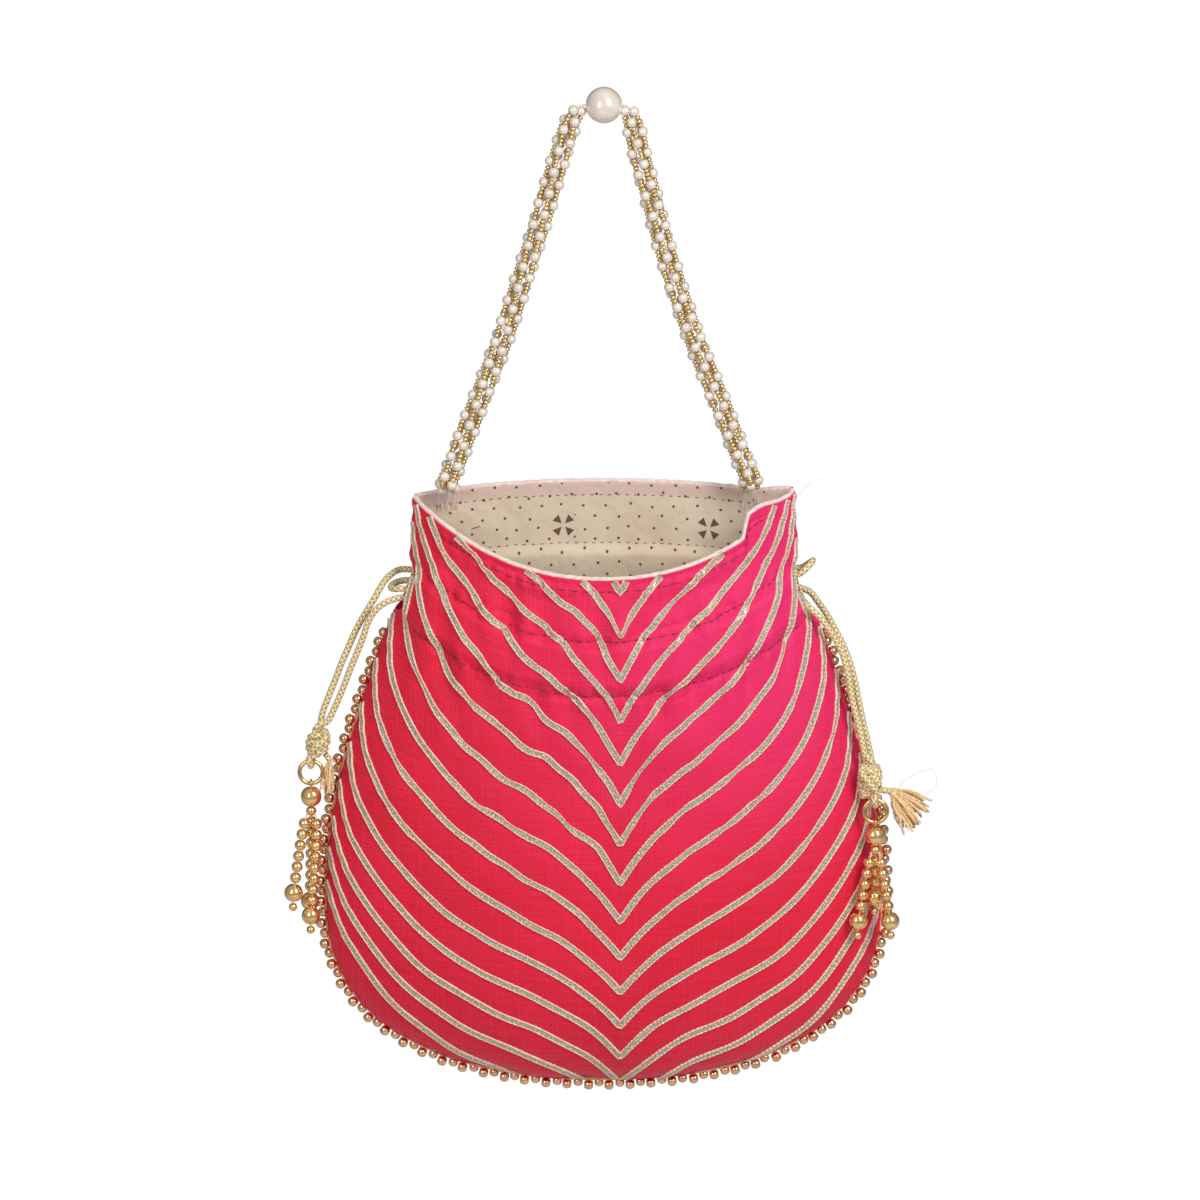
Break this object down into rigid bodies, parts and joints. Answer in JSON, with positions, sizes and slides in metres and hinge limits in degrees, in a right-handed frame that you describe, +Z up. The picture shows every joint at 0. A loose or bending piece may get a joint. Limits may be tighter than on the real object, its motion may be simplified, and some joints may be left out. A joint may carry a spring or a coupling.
{
  "type": "potli bag",
  "caption": "Drawstring pouch of crimson raw silk with nested chevrons of metallic lace, a printed cotton lining, beaded edging, tassels and a handle of pearls.",
  "frame": {"origin": "point under the big handle pearl, where a finger or hook bears", "axes": "+Z up, -Y towards the front, +X to the viewer's right"},
  "size_m": [0.2481, 0.0865, 0.3948],
  "materials": {
    "crimson_raw_silk": "sheen",
    "printed_cotton": "matte",
    "metallic_lace": "metallic thread",
    "gold_braid": "satin",
    "frayed_yarn": "matte",
    "imitation_pearl": "pearl lustre",
    "rose_gold_beads": "metallized gloss",
    "brass_wire": "polished"
  },
  "bodies": {
    "handle": {"handle_strand_1": "imitation_pearl", "handle_strand_2": "imitation_pearl", "handle_strand_3": "imitation_pearl", "handle_strand_4": "imitation_pearl", "handle_strand_5": "imitation_pearl"},
    "pearl": {"handle_pearl": "imitation_pearl"},
    "bag": {"silk_front": "crimson_raw_silk", "silk_back": "crimson_raw_silk", "lining_front": "printed_cotton", "lining_back": "printed_cotton", "lace_front_01": "metallic_lace", "lace_front_02": "metallic_lace", "lace_front_03": "metallic_lace", "lace_front_04": "metallic_lace", "lace_front_05": "metallic_lace", "lace_front_06": "metallic_lace", "lace_front_07": "metallic_lace", "lace_front_08": "metallic_lace", "lace_front_09": "metallic_lace", "lace_front_10": "metallic_lace", "lace_front_11": "metallic_lace", "lace_front_12": "metallic_lace", "lace_front_13": "metallic_lace", "lace_front_14": "metallic_lace", "lace_front_15_left": "metallic_lace", "lace_front_15_right": "metallic_lace", "lace_front_16_left": "metallic_lace", "lace_front_16_right": "metallic_lace", "lace_back_01": "metallic_lace", "lace_back_02": "metallic_lace", "lace_back_03": "metallic_lace", "lace_back_04": "metallic_lace", "lace_back_05": "metallic_lace", "lace_back_06": "metallic_lace", "lace_back_07": "metallic_lace", "lace_back_08": "metallic_lace", "lace_back_09": "metallic_lace", "lace_back_10": "metallic_lace", "lace_back_11": "metallic_lace", "lace_back_12": "metallic_lace", "lace_back_13": "metallic_lace", "lace_back_14": "metallic_lace", "lace_back_15_left": "metallic_lace", "lace_back_15_right": "metallic_lace", "bead_trim": "rose_gold_beads", "drawstring_left": "gold_braid", "drawstring_right": "gold_braid", "knot_tail_left": "frayed_yarn", "knot_tail_right": "frayed_yarn"},
    "ring_left": {"tassel_ring_left": "brass_wire"},
    "ring_right": {"tassel_ring_right": "brass_wire"},
    "tassel_left": {"tassel_ball_left": "rose_gold_beads"},
    "tassel_right": {"tassel_ball_right": "rose_gold_beads"},
    "beads_left_1": {"tassel_strand_left_1": "rose_gold_beads"},
    "beads_left_2": {"tassel_strand_left_2": "rose_gold_beads"},
    "beads_left_3": {"tassel_strand_left_3": "rose_gold_beads"},
    "beads_right_1": {"tassel_strand_right_1": "rose_gold_beads"},
    "beads_right_2": {"tassel_strand_right_2": "rose_gold_beads"},
    "beads_right_3": {"tassel_strand_right_3": "rose_gold_beads"}
  },
  "joints": [
    {"name": "pearl_spin", "type": "hinge", "parent": "handle", "child": "pearl", "pos_m": [0, 0, 0.007], "axis": [1, 0, 0], "continuous": true},
    {"name": "bag_swing", "type": "hinge", "parent": "handle", "child": "bag", "pos_m": [0, -0.0006, -0.15], "axis": [1, 0, 0], "range_deg": [-18, 18]},
    {"name": "ring_left_swing", "type": "hinge", "parent": "bag", "child": "ring_left", "pos_m": [-0.1128, -0.0095, -0.24815], "axis": [0, 1, 0], "range_deg": [0, 20]},
    {"name": "ring_right_swing", "type": "hinge", "parent": "bag", "child": "ring_right", "pos_m": [0.1046, -0.015, -0.26235], "axis": [0, -1, 0], "range_deg": [0, 20]},
    {"name": "tassel_left_swing", "type": "hinge", "parent": "ring_left", "child": "tassel_left", "pos_m": [-0.1128, -0.0095, -0.25705], "axis": [-1, 0, 0], "range_deg": [0, 30]},
    {"name": "tassel_right_swing", "type": "hinge", "parent": "ring_right", "child": "tassel_right", "pos_m": [0.1046, -0.015, -0.27125], "axis": [-1, 0, 0], "range_deg": [0, 30]},
    {"name": "beads_left_1_swing", "type": "hinge", "parent": "tassel_left", "child": "beads_left_1", "pos_m": [-0.1137, -0.0101, -0.26645], "axis": [0, 1, 0], "range_deg": [0, 20]},
    {"name": "beads_left_2_swing", "type": "hinge", "parent": "tassel_left", "child": "beads_left_2", "pos_m": [-0.1118, -0.0101, -0.26645], "axis": [-1, 0, 0], "range_deg": [0, 20]},
    {"name": "beads_left_3_swing", "type": "hinge", "parent": "tassel_left", "child": "beads_left_3", "pos_m": [-0.1127, -0.0084, -0.26645], "axis": [0, 1, 0], "range_deg": [0, 5]},
    {"name": "beads_right_1_swing", "type": "hinge", "parent": "tassel_right", "child": "beads_right_1", "pos_m": [0.1037, -0.0156, -0.28065], "axis": [-1, 0, 0], "range_deg": [0, 20]},
    {"name": "beads_right_2_swing", "type": "hinge", "parent": "tassel_right", "child": "beads_right_2", "pos_m": [0.1056, -0.0156, -0.28065], "axis": [0, -1, 0], "range_deg": [0, 20]},
    {"name": "beads_right_3_swing", "type": "hinge", "parent": "tassel_right", "child": "beads_right_3", "pos_m": [0.1047, -0.0139, -0.28065], "axis": [0, -1, 0], "range_deg": [0, 5]}
  ]
}
